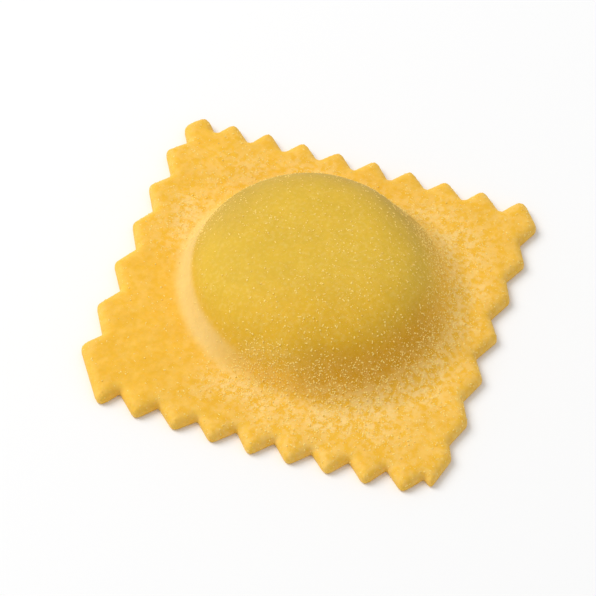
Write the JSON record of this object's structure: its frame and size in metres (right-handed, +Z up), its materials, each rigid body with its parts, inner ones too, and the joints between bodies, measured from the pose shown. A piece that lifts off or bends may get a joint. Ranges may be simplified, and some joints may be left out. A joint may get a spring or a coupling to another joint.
{
  "type": "ravioli",
  "caption": "Square egg-dough raviolo, uncooked: a round filled dome in a flat pressed rim cut into pointed teeth.",
  "frame": {"origin": "on the surface it rests on, under the middle of its bounding box", "axes": "+Z up, out of the filled dome; +Y towards the far toothed side; +X along the near and far sides, with the large slanted corner at -X -Y"},
  "size_m": [0.0503, 0.0504, 0.0104],
  "materials": {
    "egg_dough": "matt fresh dough, dusted with semolina"
  },
  "bodies": {
    "root": {"dough": "egg_dough"}
  },
  "joints": []
}
